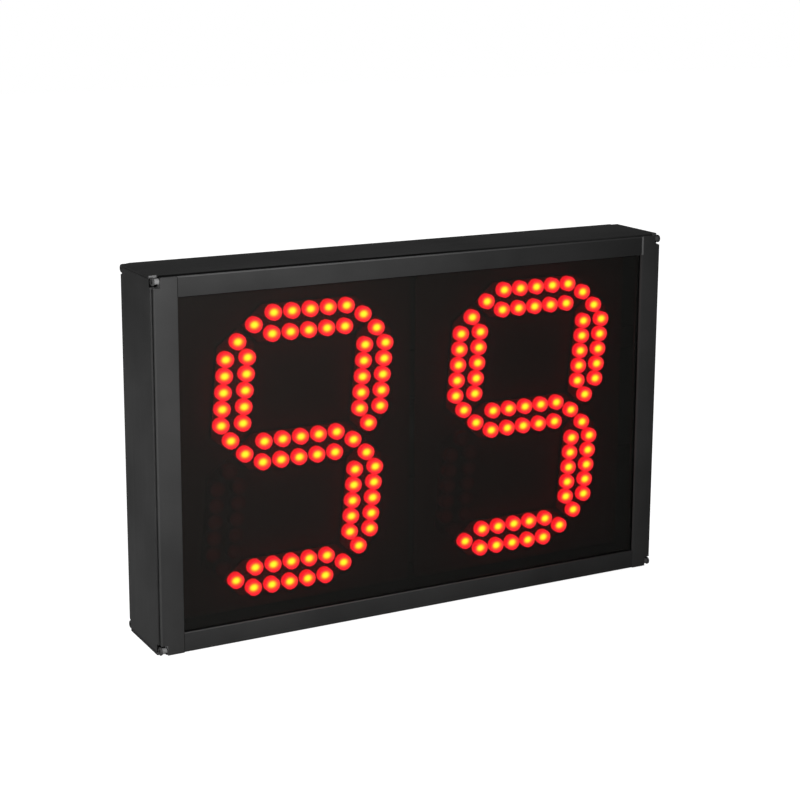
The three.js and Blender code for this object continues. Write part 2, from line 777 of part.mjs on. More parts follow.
// Controller: tray with four posts, board, chip and finned heat sink
const trayRear = panelInner - seat;
const trayFront = trayRear - trayWall;
const controllerRear = trayFront - postHeight - seat;
const controllerFront = controllerRear - boardWall;
const controllerWidth = trayWidth - 2 * controllerInset;
const controllerHeight = trayHeight - 2 * controllerInset;

function controllerTray() {
  const posts = sides.flatMap((s) => sides.map((t) => rodY(
    postRadius, trayFront - postHeight, trayFront + trayWall / 2,
    trayX + s * (trayWidth / 2 - postInset), midHeight + t * (trayHeight / 2 - postInset))));
  const tray = prismY(roundedBox(trayX, midHeight, trayWidth, trayHeight, postRadius), trayFront, trayRear);
  return join(tray, ...posts);
}

piece('controller_tray', controllerTray(), 'plastic');
piece('controller_board', prismY(
  roundedBox(trayX, midHeight, controllerWidth, controllerHeight, controllerInset / 2),
  controllerFront, controllerRear), 'green');
const chipX = trayX - controllerWidth / 4;
const chipZ = midHeight - controllerHeight / 4;
piece('controller_chip', block(
  chipX - chipWidth / 2, chipX + chipWidth / 2, controllerFront - seat - chipDepth, controllerFront - seat,
  chipZ - chipHeight / 2, chipZ + chipHeight / 2), 'plastic');

function heatSink() {
  const x = trayX - controllerWidth / 4;
  const z = midHeight + controllerHeight / 4;
  const foot = controllerFront - seat;
  const low = z - sinkHeight / 2;
  const high = z + sinkHeight / 2;
  const base = block(x - sinkWidth / 2, x + sinkWidth / 2, foot - sinkBase, foot, low, high);
  const fins = Array.from({ length: finCount }, (_, i) => {
    const left = x - sinkWidth / 2 + i * (sinkWidth - finWall) / (finCount - 1);
    return block(left, left + finWall, foot - finHeight, foot - sinkBase / 2, low, high);
  });
  return join(base, ...fins);
}

piece('driver_heat_sink', heatSink(), 'sink');

// Horn: a flanged cone behind the holes, with its magnet towards the front of the case
const hornRear = panelInner - seat;

function horn() {
  const magnetEnd = hornRear - boardBack - hornClear;
  const throat = magnetEnd - hornMagnetDepth;
  return turned([
    [0, throat],
    [hornThroatRadius, throat],
    [hornConeRadius, 0],
    [hornRadius, 0],
    [hornRadius, hornFlange],
    [hornConeRadius + hornWall, hornFlange],
    [hornMagnetRadius, throat],
    [hornMagnetRadius, magnetEnd],
    [0, magnetEnd],
  ], 20).rotateX(Math.PI / 2);
}

piece('horn', horn(), 'plastic').position.set(0, hornRear, midHeight);

function curveThrough(points) {
  const places = points.map(([x, y, z]) => new THREE.Vector3(x, y, z ?? 0));
  return new THREE.CatmullRomCurve3(places, false, 'centripetal');
}

// A round lead along a smooth curve through its points
function lead(points, radius, steps = 16) {
  const section = shapeOf(arc(0, 0, radius, 0, round, 8).slice(1));
  return new THREE.ExtrudeGeometry(section, { steps, extrudePath: curveThrough(points) });
}

// A flat ribbon lead: a thin band along a curve in the XY plane that starts and ends square to a board
function ribbon(points, steps = 14) {
  const route = curveThrough(points);
  const edge = (side) => Array.from({ length: steps + 1 }, (_, i) => {
    const at = route.getPointAt(i / steps);
    const along = i % steps ? route.getTangentAt(i / steps) : new THREE.Vector3(0, 1, 0);
    return [at.x - side * along.y * ribbonWall / 2, at.y + side * along.x * ribbonWall / 2];
  });
  const outline = [...edge(1), ...edge(-1).reverse()];
  return prismZ(outline, midHeight - ribbonWidth / 2, midHeight + ribbonWidth / 2);
}

const runY = (boardBack + railFront) / 2;           // leads run between the digit boards and the rails
const boardSeat = boardBack + seat;
const controllerSeat = controllerFront - seat;
const controllerRight = trayX + controllerWidth / 2;
const terminalX = supplyLeft + seat + terminalWidth / 2;
const terminalSeat = supplyFront + seat;
const ribbonEnd = controllerRight - ribbonWidth;

piece('ribbon_left', ribbon([
  [ribbonEnd, boardSeat], [ribbonEnd, boardSeat + leadSag], [ribbonEnd - leadSag, 0],
  [ribbonEnd, controllerSeat - leadSag], [ribbonEnd, controllerSeat],
]), 'ribbon');
const ribbonFar = digitSpacing / 2 - boardWidth / 2 + ribbonWidth;
piece('ribbon_right', ribbon([
  [ribbonFar, boardSeat], [ribbonFar - leadSag / 2, runY], [ribbonFar - 2 * leadSag, runY + ribbonWall],
  [0, runY + ribbonWall], [ribbonEnd + 3 * leadSag, runY + ribbonWall], [ribbonEnd + 2 * leadSag, 0],
  [ribbonEnd + 2 * leadSag, controllerSeat - leadSag], [ribbonEnd + 2 * leadSag, controllerSeat],
], 22), 'ribbon');

// Mains lead from the inlet, in front of the lower rail, up to the supply's terminals
const tailSeat = inletBack - pinTail - seat;
piece('mains_lead', lead([
  [inletX, tailSeat, socketZ], [inletX, (tailSeat + runY) / 2, socketZ],
  [inletX - leadSag, runY, socketZ + leadSag], [inletX - 2 * leadSag, runY, socketZ + 2 * leadSag],
  [(inletX + terminalX) / 2, runY, midHeight - railSpacing / 2],
  [terminalX + leadSag, runY, midHeight - railSpacing / 2 + railHeight],
  [terminalX, runY, midHeight - supplyHeight / 4],
  [terminalX, terminalSeat - leadSag / 3, midHeight - supplyHeight / 6],
  [terminalX, terminalSeat, midHeight - supplyHeight / 6],
], powerLeadRadius, 20), 'plastic');

const supplyLeadZ = midHeight + supplyHeight / 4;
piece('supply_lead', lead([
  [terminalX, terminalSeat, supplyLeadZ], [terminalX, terminalSeat - leadSag / 3, supplyLeadZ],
  [terminalX - leadSag, runY, supplyLeadZ], [hornRadius, runY, supplyLeadZ + leadSag],
  [-hornRadius, runY, supplyLeadZ + leadSag], [controllerRight, 0, supplyLeadZ + leadSag / 2],
  [controllerRight - leadSag, controllerSeat - leadSag, supplyLeadZ],
  [controllerRight - leadSag, controllerSeat, supplyLeadZ],
], powerLeadRadius, 20), 'plastic');

const controllerMid = (controllerFront + controllerRear) / 2;
const hornEdge = -hornRadius - seat;
piece('horn_lead', lead([
  [hornEdge, hornRear - hornFlange / 2, midHeight],
  [hornEdge - leadSag, hornRear - hornFlange / 2, midHeight],
  [controllerRight + leadSag, controllerMid, midHeight], [controllerRight + seat, controllerMid, midHeight],
], hornFlange / 3, 8), 'plastic');

// Data leads from the sockets, behind the lower rail, up to the controller board's lower edge
dataNames.forEach((name, i) => {
  const x = dataX + i * dataSpacing;
  const end = trayX - controllerWidth / 2 + dataLeadInset + i * dataSpacing;
  const start = panelOuter - dataLength - seat;
  const edge = midHeight - controllerHeight / 2 - seat;
  const over = railFront + railDepth + leadSag;
  piece(name.replace('socket', 'lead'), lead([
    [x, start, dataZ], [x, start - leadSag / 2, dataZ],
    [x, start - leadSag / 2, dataZ + dataBarrel + leadSag],
    [end, over, midHeight - railSpacing / 2], [end, controllerMid, edge - leadSag],
    [end, controllerMid, edge],
  ], signalLeadRadius, 12), 'plastic');
});

export default shotClock;
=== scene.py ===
import json
import math

import bpy
from mathutils import Matrix, Vector


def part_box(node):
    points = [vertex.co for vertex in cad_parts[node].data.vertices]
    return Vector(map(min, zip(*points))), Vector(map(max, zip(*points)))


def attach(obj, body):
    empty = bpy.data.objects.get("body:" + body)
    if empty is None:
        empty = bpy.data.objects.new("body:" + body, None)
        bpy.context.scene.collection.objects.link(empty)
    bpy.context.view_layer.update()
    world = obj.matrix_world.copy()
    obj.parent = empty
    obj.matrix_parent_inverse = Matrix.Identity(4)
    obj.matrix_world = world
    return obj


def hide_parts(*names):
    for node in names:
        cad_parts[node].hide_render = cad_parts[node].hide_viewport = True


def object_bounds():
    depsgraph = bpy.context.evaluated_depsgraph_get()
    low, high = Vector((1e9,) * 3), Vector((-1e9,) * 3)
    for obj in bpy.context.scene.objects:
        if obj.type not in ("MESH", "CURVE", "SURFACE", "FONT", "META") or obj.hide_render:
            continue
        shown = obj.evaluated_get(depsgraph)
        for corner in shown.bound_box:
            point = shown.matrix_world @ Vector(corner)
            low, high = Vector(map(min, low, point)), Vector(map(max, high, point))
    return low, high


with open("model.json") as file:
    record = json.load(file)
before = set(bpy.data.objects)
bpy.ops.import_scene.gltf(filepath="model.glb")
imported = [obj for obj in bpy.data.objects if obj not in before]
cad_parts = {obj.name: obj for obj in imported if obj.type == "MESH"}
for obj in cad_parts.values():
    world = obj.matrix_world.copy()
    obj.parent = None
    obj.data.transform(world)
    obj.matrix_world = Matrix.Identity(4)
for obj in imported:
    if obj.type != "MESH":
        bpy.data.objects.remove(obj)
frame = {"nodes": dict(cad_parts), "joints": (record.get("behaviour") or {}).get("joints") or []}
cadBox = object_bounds()
nodes = frame["nodes"]
mm = 0.001
tiny = 0.05 * mm
halfWidth, halfDepth, caseHeight = cadBox[1]
print("frame loaded:", len(nodes), "nodes")


def sizeOf(name):
    low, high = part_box(name)
    return Vector(high) - Vector(low)


def middleOf(name):
    low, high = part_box(name)
    return (Vector(low) + Vector(high)) / 2


uprightInner = halfWidth - sizeOf("side_profile_left").x
crossInner = sizeOf("bottom_profile").z


# The camera stands where the photograph was taken from.
photoCamera = {
    "place": (-0.7671, -1.4062, 0.5911),
    "yaw": -28.490,         # degrees, negative looks to the right of +Y
    "pitch": 11.565,        # degrees below the horizon
    "roll": 0.289,
    "focal": 1799.8,        # pixels
    "picture": 800,         # pixels across
    "sensor": 36,           # millimetres across
    "shift": -0.10,
    "reach": (0.01, 50),    # nearest and farthest that it sees, metres
}


def aimCamera(view):
    yaw, pitch, roll = (math.radians(view[key]) for key in ("yaw", "pitch", "roll"))
    level = Vector((-math.sin(yaw), math.cos(yaw), 0)) * math.cos(pitch)
    ahead = level - Vector((0, 0, math.sin(pitch)))
    right = Vector((math.cos(yaw), math.sin(yaw), 0))
    up = right.cross(ahead)
    rolledRight = right * math.cos(roll) + up * math.sin(roll)
    rolledUp = up * math.cos(roll) - right * math.sin(roll)
    bpy.ops.object.camera_add(location=view["place"])
    camera = bpy.context.object
    turn = Matrix((rolledRight, rolledUp, -ahead)).transposed()
    camera.rotation_euler = turn.to_euler()
    camera.data.sensor_width = view["sensor"]
    camera.data.lens = view["focal"] / view["picture"] * view["sensor"]
    camera.data.shift_y = view["shift"]
    camera.data.clip_start, camera.data.clip_end = view["reach"]
    bpy.context.scene.camera = camera


aimCamera(photoCamera)
print("camera placed")


# Materials
def newMaterial(name, colour, roughness, metallic=0.0, specular=0.5):
    material = bpy.data.materials.new(name)
    material.use_nodes = True
    shader = material.node_tree.nodes["Principled BSDF"]
    shader.inputs["Base Color"].default_value = (*colour, 1)
    shader.inputs["Roughness"].default_value = roughness
    shader.inputs["Metallic"].default_value = metallic
    shader.inputs["Specular IOR Level"].default_value = specular
    return material


def addNode(material, kind, **values):
    node = material.node_tree.nodes.new(kind)
    for key, value in values.items():
        setattr(node, key, value)
    return node


def intoShader(material, output, socket):
    shader = material.node_tree.nodes["Principled BSDF"]
    material.node_tree.links.new(output, shader.inputs[socket])


def noiseOver(material, stretch, scale, detail=3.0):
    # noise on Object coordinates, squeezed or drawn out by stretch
    links = material.node_tree.links
    place = addNode(material, "ShaderNodeTexCoord")
    mapping = addNode(material, "ShaderNodeMapping")
    mapping.inputs["Scale"].default_value = stretch
    noise = addNode(material, "ShaderNodeTexNoise")
    noise.inputs["Scale"].default_value = scale
    noise.inputs["Detail"].default_value = detail
    links.new(place.outputs["Object"], mapping.inputs["Vector"])
    links.new(mapping.outputs["Vector"], noise.inputs["Vector"])
    return noise.outputs["Fac"]


noiseSpan = (0.3, 0.7)      # most of the noise lies between these


def varyRoughness(material, fac, low, high):
    remap = addNode(material, "ShaderNodeMapRange")
    remap.inputs["From Min"].default_value, remap.inputs["From Max"].default_value = noiseSpan
    remap.inputs["To Min"].default_value = low
    remap.inputs["To Max"].default_value = high
    material.node_tree.links.new(fac, remap.inputs["Value"])
    intoShader(material, remap.outputs["Result"], "Roughness")


def mixed(material, fac, first, second):
    mix = addNode(material, "ShaderNodeMix", data_type="RGBA")
    mix.inputs["A"].default_value = (*first, 1)
    mix.inputs["B"].default_value = (*second, 1)
    material.node_tree.links.new(fac, mix.inputs["Factor"])
    return mix.outputs["Result"]


def varyColour(material, fac, dark, light):
    intoShader(material, mixed(material, fac, dark, light), "Base Color")


def addBump(material, fac, strength, distance):
    bump = addNode(material, "ShaderNodeBump")
    bump.inputs["Strength"].default_value = strength
    bump.inputs["Distance"].default_value = distance
    material.node_tree.links.new(fac, bump.inputs["Height"])
    intoShader(material, bump.outputs["Normal"], "Normal")


anodisedLook = {
    "metal": 0.07,
    "roughness": (0.40, 0.54),
    "linesPerMetre": 900,   # die lines across the extrusion
    "linesStretch": 0.01,   # how much slower they change along it
    "linesDepth": 0.2 * mm,
    "linesBump": 0.06,
    "cloud": 0.35,          # share by which the tone drifts
    "cloudScale": 14,
}


def anodised(name, tone, slantGloss, along):
    # satin anodised aluminium, with die lines along the extrusion
    low, high = anodisedLook["roughness"]
    metal = anodisedLook["metal"]
    material = newMaterial(name, (tone,) * 3, (low + high) / 2, metallic=metal, specular=0.0)
    shader = material.node_tree.nodes["Principled BSDF"]
    shader.inputs["Specular Tint"].default_value = (slantGloss, slantGloss, slantGloss, 1)
    drawn = [1.0, 1.0, 1.0]
    drawn[along] = anodisedLook["linesStretch"]
    lines = noiseOver(material, drawn, anodisedLook["linesPerMetre"], detail=2.0)
    drift = noiseOver(material, (1, 1, 1), anodisedLook["cloudScale"], detail=4.0)
    spread = anodisedLook["cloud"]
    varyColour(material, drift, (tone * (1 - spread),) * 3, (tone * (1 + spread),) * 3)
    varyRoughness(material, lines, low, high)
    addBump(material, lines, anodisedLook["linesBump"], anodisedLook["linesDepth"])
    return material


topFade = {                 # along X, where the painted highlight on the top strip's rounded edge and the painted shade in its slit die away
    "from": 0.0,
    "to": 200 * mm,
}


def paintedLightFadingRight(name, tone, endTone, slantGloss):
    # anodised, with another tone towards the right end of the case, so that the painted highlight and
    # painted shade fade out there
    material = anodised(name, tone, slantGloss, 0)
    place = addNode(material, "ShaderNodeTexCoord")
    split = addNode(material, "ShaderNodeSeparateXYZ")
    share = addNode(material, "ShaderNodeMapRange")
    share.inputs["From Min"].default_value = topFade["from"]
    share.inputs["From Max"].default_value = topFade["to"]
    material.node_tree.links.new(place.outputs["Object"], split.inputs["Vector"])
    material.node_tree.links.new(split.outputs["X"], share.inputs["Value"])
    varyColour(material, share.outputs["Result"], (tone,) * 3, (endTone,) * 3)
    return material


mouldedLook = {
    "cloud": (0.85, 1.15),  # shares of the colour that it drifts between
    "cloudScale": 30,
    "polish": (-0.06, 0.08),    # added to the roughness by the grain
    "grain": 2600,
    "grainDetail": 2.0,
    "grainDepth": 0.1 * mm,
    "bump": 0.15,
}
platedLook = {
    "cloud": (0.88, 1.06),
    "cloudScale": 60,
    "polish": (-0.07, 0.10),
    "grain": 1500,
    "grainDetail": 3.0,
    "grainDepth": 0.1 * mm,
    "bump": 0.05,
}


def addGrain(material, colour, roughness, look, stretch, grain, bump):
    # a fine grain in gloss and surface, and slow clouds in the colour
    fine = noiseOver(material, stretch, grain, look["grainDetail"])
    cloud = noiseOver(material, (1, 1, 1), look["cloudScale"])
    darker, lighter = look["cloud"]
    varyColour(material, cloud, [c * darker for c in colour], [c * lighter for c in colour])
    smoother, rougher = look["polish"]
    varyRoughness(material, fine, roughness + smoother, roughness + rougher)
    addBump(material, fine, bump, look["grainDepth"])


def moulded(name, colour, roughness, grain=mouldedLook["grain"], bump=mouldedLook["bump"], specular=0.5):
    # moulded plastic with a spark-eroded grain
    material = newMaterial(name, colour, roughness, specular=specular)
    addGrain(material, colour, roughness, mouldedLook, (1, 1, 1), grain, bump)
    return material


def plated(name, colour, roughness, stretch=(1, 1, 1)):
    # plated metal, its grain drawn out where the stretch is under 1
    material = newMaterial(name, colour, roughness, metallic=1.0)
    addGrain(material, colour, roughness, platedLook, stretch, platedLook["grain"], platedLook["bump"])
    return material


windowLook = {
    "tint": (0.0090, 0.0090, 0.0082),
    # painted shade along the opening's edges, where the strips' lips shade the sheet
    "lipShadeTint": (0.002, 0.002, 0.002),
    "lipShadeWidth": 1.6 * mm,
    "alpha": 0.62,          # of each of its two faces
    "roughness": (0.16, 0.24),
    "smearScale": 18,       # of the wiping marks, drawn out upwards
    "smearStretch": (1, 1, 0.4),
    "specular": 0.03,
}


def nearOpeningEdge(material, halfX, halfZ, middleZ, width):
    # 1 at the opening's edge, falling to 0 at the given width from it
    links = material.node_tree.links
    place = addNode(material, "ShaderNodeTexCoord")
    shift = addNode(material, "ShaderNodeVectorMath", operation="SUBTRACT")
    shift.inputs[1].default_value = (0, 0, middleZ)
    size = addNode(material, "ShaderNodeVectorMath", operation="ABSOLUTE")
    split = addNode(material, "ShaderNodeSeparateXYZ")
    links.new(place.outputs["Object"], shift.inputs[0])
    links.new(shift.outputs["Vector"], size.inputs[0])
    links.new(size.outputs["Vector"], split.inputs["Vector"])
    shares = []
    for axis, half in (("X", halfX), ("Z", halfZ)):
        share = addNode(material, "ShaderNodeMapRange")
        share.inputs["From Min"].default_value = half - width
        share.inputs["From Max"].default_value = half - width / 2
        links.new(split.outputs[axis], share.inputs["Value"])
        shares.append(share.outputs["Result"])
    most = addNode(material, "ShaderNodeMath", operation="MAXIMUM")
    links.new(shares[0], most.inputs[0])
    links.new(shares[1], most.inputs[1])
    return most.outputs[0]


def smokedSheet():
    low, high = windowLook["roughness"]
    material = newMaterial(
        "smokedWindow", windowLook["tint"], (low + high) / 2, specular=windowLook["specular"])
    shader = material.node_tree.nodes["Principled BSDF"]
    shader.inputs["Alpha"].default_value = windowLook["alpha"]
    # painted shade: the sheet darkens near the opening's edges, where the strips' lips shade it
    lipShade = nearOpeningEdge(
        material, uprightInner, caseHeight / 2 - crossInner, caseHeight / 2, windowLook["lipShadeWidth"])
    varyColour(material, lipShade, windowLook["tint"], windowLook["lipShadeTint"])
    smear = noiseOver(material, windowLook["smearStretch"], windowLook["smearScale"], detail=5.0)
    varyRoughness(material, smear, low, high)
    return material


lampGlow = {
    "strength": 7.2,
    "rings": [              # distance from the axis, on down the cup's wall, and colour
        (0.0 * mm, (1.0, 1.000, 0.022)),
        (1.0 * mm, (1.0, 0.950, 0.021)),
        (2.0 * mm, (1.0, 0.820, 0.021)),
        (2.9 * mm, (1.0, 0.540, 0.020)),
        (3.8 * mm, (1.0, 0.230, 0.018)),
        (4.7 * mm, (1.0, 0.078, 0.024)),
        (5.7 * mm, (1.0, 0.025, 0.033)),
        (6.8 * mm, (0.95, 0.012, 0.026)),
        (9.0 * mm, (0.88, 0.008, 0.016)),
        (13.5 * mm, (0.75, 0.005, 0.009)),
    ],
    "litBody": (0.16, 0.008, 0.008),
    "darkBody": ((0.28, 0.012, 0.012), (0.04, 0.003, 0.003)),
    "roughness": 0.35,
    "specular": 0.08,
}
glowReach = lampGlow["rings"][-1][0]


def lampMaterial(name, lit):
    # the glow depends on the way from the lamp's axis, kept in the map lampDisc as a share of its reach
    material = newMaterial(name, lampGlow["litBody"], lampGlow["roughness"], specular=lampGlow["specular"])
    tree = material.node_tree
    disc = addNode(material, "ShaderNodeUVMap", uv_map="lampDisc")
    reach = addNode(material, "ShaderNodeVectorMath", operation="LENGTH")
    tree.links.new(disc.outputs["UV"], reach.inputs[0])
    if lit:
        ramp = addNode(material, "ShaderNodeValToRGB")
        stops = ramp.color_ramp.elements
        while len(stops) > 1:
            stops.remove(stops[-1])
        for index, (at, colour) in enumerate(lampGlow["rings"]):
            share = at / glowReach
            stop = stops[0] if index == 0 else stops.new(share)
            stop.position = share
            stop.color = (*colour, 1)
        tree.links.new(reach.outputs["Value"], ramp.inputs["Fac"])
        intoShader(material, ramp.outputs["Color"], "Emission Color")
        shader = tree.nodes["Principled BSDF"]
        shader.inputs["Emission Strength"].default_value = lampGlow["strength"]
    else:
        varyColour(material, reach.outputs["Value"], *lampGlow["darkBody"])
    return material


finishes = {
    "uprightBlack": anodised("uprightBlack", 0.030, 1.0, 2),
    "crossBlack": anodised("crossBlack", 0.0235, 0.80, 0),
    "skinBlack": anodised("skinBlack", 0.030, 0.80, 2),
    # painted highlights: lighter copies of the anodised black on the strips' rounded edges and the bottom
    # strip's ledge, the top one fading towards the right
    "uprightEdgeHighlight": anodised("uprightEdgeHighlight", 0.040, 1.0, 2),
    "crossEdgeHighlight": paintedLightFadingRight("crossEdgeHighlight", 0.060, 0.032, 0.80),
    # bare metal on the notches' cut faces; the same tone is a painted highlight on the right upright's
    # wide inner bevel above the window
    "bareMetalAndHighlight": anodised("bareMetalAndHighlight", 0.10, 0.50, 0),
    # painted shade: near black on the uprights' notch backs and in the strips' slits, the latter greyer
    # towards the right
    "notchBackShade": anodised("notchBackShade", 0.003, 0.05, 0),
    "crossSlitShade": paintedLightFadingRight("crossSlitShade", 0.003, 0.024, 0.05),
    # painted light: a lighter tone than the uprights' own on their slit walls, which lie in shadow
    "uprightSlitLight": anodised("uprightSlitLight", 0.035, 0.10, 2),
    "window": smokedSheet(),
    "litLamp": lampMaterial("litLamp", True),
    "darkLamp": lampMaterial("darkLamp", False),
    "carrierRed": moulded("carrierRed", (0.055, 0.006, 0.006), 0.55, specular=0.1),
    "boardRed": moulded("boardRed", (0.055, 0.008, 0.007), 0.5, grain=400, bump=0.05, specular=0.1),
    "boardGreen": moulded("boardGreen", (0.02, 0.09, 0.04), 0.35, grain=400, bump=0.05),
    "panelBlack": moulded("panelBlack", (0.024, 0.024, 0.025), 0.55, grain=1800, bump=0.3, specular=0.3),
    "partBlack": moulded("partBlack", (0.016, 0.016, 0.016), 0.42),
    "markWhite": moulded("markWhite", (0.62, 0.62, 0.60), 0.5),
    "screwDark": anodised("screwDark", 0.045, 0.20, 0),
    "screwBright": anodised("screwBright", 0.15, 0.20, 0),
    # a darker copy of the bright shoulder: painted shade for the right-hand screws
    "screwShoulderShaded": anodised("screwShoulderShaded", 0.07, 0.20, 0),
    "zinc": plated("zinc", (0.50, 0.50, 0.49), 0.38),
    "steel": plated("steel", (0.50, 0.51, 0.52), 0.36, stretch=(0.05, 1, 1)),
    "railBlack": plated("railBlack", (0.03, 0.03, 0.03), 0.5, stretch=(0.05, 1, 1)),
    "nickel": plated("nickel", (0.58, 0.56, 0.53), 0.25),
    "brass": plated("brass", (0.62, 0.46, 0.20), 0.3),
    "sinkGrey": plated("sinkGrey", (0.10, 0.10, 0.11), 0.45),
    "leadBlack": moulded("leadBlack", (0.012, 0.012, 0.012), 0.5),
    "ribbonGrey": moulded("ribbonGrey", (0.05, 0.05, 0.052), 0.5),
    "fuseGlass": moulded("fuseGlass", (0.55, 0.60, 0.60), 0.12, grain=300, bump=0.02),
}
print("materials made:", len(finishes))


# Modelling helpers
sharpAngle = 30             # degrees between faces, from which an edge is broken and shaded sharp
flatAngle = 1               # degrees between faces, up to which they are merged
mergeReach = 0.01 * mm
brokenSteps = 2             # faces across a broken edge


def clearSelection():
    if bpy.context.object and bpy.context.object.mode != "OBJECT":
        bpy.ops.object.mode_set(mode="OBJECT")
    bpy.ops.object.select_all(action="DESELECT")


def pick(*objects):
    clearSelection()
    for item in objects:
        item.select_set(True)
    bpy.context.view_layer.objects.active = objects[0]


def paint(item, *names):
    item.data.materials.clear()
    for name in names:
        item.data.materials.append(finishes[name])


def tintFaces(item, name, test):
    # faces that pass the test, by middle and normal, get a finish of their own
    item.data.materials.append(finishes[name])
    index = len(item.data.materials) - 1
    for face in item.data.polygons:
        if test(face.center, face.normal):
            face.material_index = index


def settle(item, name, body, slot, *materials, smooth=sharpAngle):
    # the place goes into the mesh, then come the finish and the ride
    pick(item)
    bpy.ops.object.transform_apply(location=True, rotation=True, scale=True)
    bpy.ops.object.shade_smooth_by_angle(angle=math.radians(smooth))
    item.name = name
    item.data.name = name
    if materials:
        paint(item, *materials)
    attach(item, body)
    return item


def breakEdges(item, width):
    bevel = item.modifiers.new("edges", "BEVEL")
    bevel.width = width
    bevel.segments = brokenSteps
    bevel.limit_method = "ANGLE"
    bevel.angle_limit = math.radians(sharpAngle)
    pick(item)
    bpy.ops.object.modifier_apply(modifier=bevel.name)


def breakSome(item, width, segments, test):
    # a bevel of its own for the edges whose two ends pass the test
    pick(item)
    bpy.ops.object.mode_set(mode="EDIT")
    bpy.ops.mesh.select_mode(type="EDGE")
    bpy.ops.mesh.select_all(action="DESELECT")
    bpy.ops.object.mode_set(mode="OBJECT")
    corners = item.data.vertices
    for edge in item.data.edges:
        edge.select = all(test(corners[i].co) for i in edge.vertices)
    bpy.ops.object.mode_set(mode="EDIT")
    bpy.ops.mesh.bevel(offset=width, segments=segments, affect="EDGES")
    bpy.ops.object.mode_set(mode="OBJECT")


def mergedCopy(nodeName):
    node = nodes[nodeName]
    clearSelection()
    copy = node.copy()
    copy.data = node.data.copy()
    copy.parent = None
    copy.matrix_world = node.matrix_world
    bpy.context.collection.objects.link(copy)
    pick(copy)
    bpy.ops.object.mode_set(mode="EDIT")
    bpy.ops.mesh.select_all(action="SELECT")
    bpy.ops.mesh.remove_doubles(threshold=mergeReach)
    bpy.ops.mesh.dissolve_limited(angle_limit=math.radians(flatAngle))
    bpy.ops.object.mode_set(mode="OBJECT")
    return copy


def dressedCopy(nodeName, pieceName, body, slot, material, width):
    # the CAD piece again, with its edges broken
    copy = mergedCopy(nodeName)
    breakEdges(copy, width)
    settle(copy, pieceName, body, slot, material)
    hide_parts(nodeName)
    return copy


def turnedPiece(profile, sides, axis):
    # a disc at the first (radius, place), drawn out ring by ring along the axis
    radius, start = profile[0]
    clearSelection()
    bpy.ops.mesh.primitive_circle_add(
        vertices=sides, radius=radius, fill_type="NGON", location=(0, 0, start))
    item = bpy.context.object
    bpy.ops.object.transform_apply(location=True, rotation=False, scale=False)
    bpy.ops.object.mode_set(mode="EDIT")
    bpy.ops.mesh.select_all(action="SELECT")
    place = start
    for nextRadius, nextPlace in profile[1:]:
        bpy.ops.mesh.extrude_region_move(TRANSFORM_OT_translate={"value": (0, 0, nextPlace - place)})
        share = nextRadius / radius
        bpy.ops.transform.resize(value=(share, share, 1), center_override=(0, 0, nextPlace))
        radius, place = nextRadius, nextPlace
    bpy.ops.mesh.select_all(action="SELECT")
    bpy.ops.mesh.normals_make_consistent(inside=False)
    bpy.ops.object.mode_set(mode="OBJECT")
    turns = {"-Y": (math.pi / 2, 0, 0), "Y": (-math.pi / 2, 0, 0), "X": (0, math.pi / 2, 0)}
    item.rotation_euler = turns[axis]
    bpy.ops.object.transform_apply(location=False, rotation=True, scale=False)
    return item


def drawnPlate(outline, back, front):
    # a plate with its outline in X and Z, drawn out along Y
    clearSelection()
    bpy.ops.mesh.primitive_circle_add(
        vertices=len(outline), radius=1, fill_type="NGON", rotation=(math.pi / 2, 0, 0))
    plate = bpy.context.object
    bpy.ops.object.transform_apply(location=False, rotation=True, scale=False)
    for vertex, (x, z) in zip(plate.data.vertices, outline):
        vertex.co = (x, back, z)
    bpy.ops.object.mode_set(mode="EDIT")
    bpy.ops.mesh.select_all(action="SELECT")
    bpy.ops.mesh.extrude_region_move(TRANSFORM_OT_translate={"value": (0, front - back, 0)})
    return plate


def finishEditing():
    bpy.ops.mesh.select_all(action="SELECT")
    bpy.ops.mesh.normals_make_consistent(inside=False)
    bpy.ops.object.mode_set(mode="OBJECT")


def copyTo(item, place):
    twin = item.copy()
    twin.data = item.data.copy()
    twin.location = place
    bpy.context.collection.objects.link(twin)
    return twin


def joined(items):
    pick(*items)
    bpy.ops.object.join()
    return bpy.context.object


def discard(item):
    bpy.data.objects.remove(item, do_unlink=True)


# Case profiles: edges broken, with painted highlights on the strips' rounded edges, painted shade in the
# slits and notch backs, and painted light in the uprights' slits
profileEdges = {
    "broken": 0.3 * mm,
    "innerEdge": {"left": 0.25 * mm, "right": 1.8 * mm},    # on the uprights, along the window
    "innerSegments": 3,
    "stripWall": 2.6 * mm,
    "slitEnd": 5.2 * mm,    # front to the far side of the slit behind a strip
    "slitDepth": 3.5 * mm,
    "roundedReach": 2.9 * mm,
    "notch": (7.0 * mm, 7.8 * mm, 10.0 * mm),   # along X, Y and Z
}
stripBack = -halfDepth + profileEdges["stripWall"] + tiny
closeTo = {                 # how near a face's middle lies to what is meant
    "skin": 0.1 * mm,
    "slit": 0.4 * mm,
    "ledge": 0.5 * mm,
}
facing = {                  # share of a face's normal along an axis
    "aslant": 0.2,
    "upwards": 0.3,
    "across": 0.7,
    "square": 0.9,
    "flat": 0.97,
}


def onInnerEdge(spot):
    return abs(abs(spot.x) - uprightInner) < tiny and spot.y < -halfDepth + tiny


def onOuterRound(middle, normal):
    outer = halfWidth - profileEdges["roundedReach"]
    return middle.y < stripBack and abs(middle.x) > outer and abs(normal.x) > facing["aslant"]


def onTopRound(middle, normal):
    upper = caseHeight - profileEdges["roundedReach"]
    return middle.y < stripBack and middle.z > upper and normal.z > facing["aslant"]


def onLowerLedge(middle, normal):
    level = abs(middle.z - crossInner) < closeTo["ledge"]
    return middle.y < stripBack and level and normal.z > facing["upwards"]


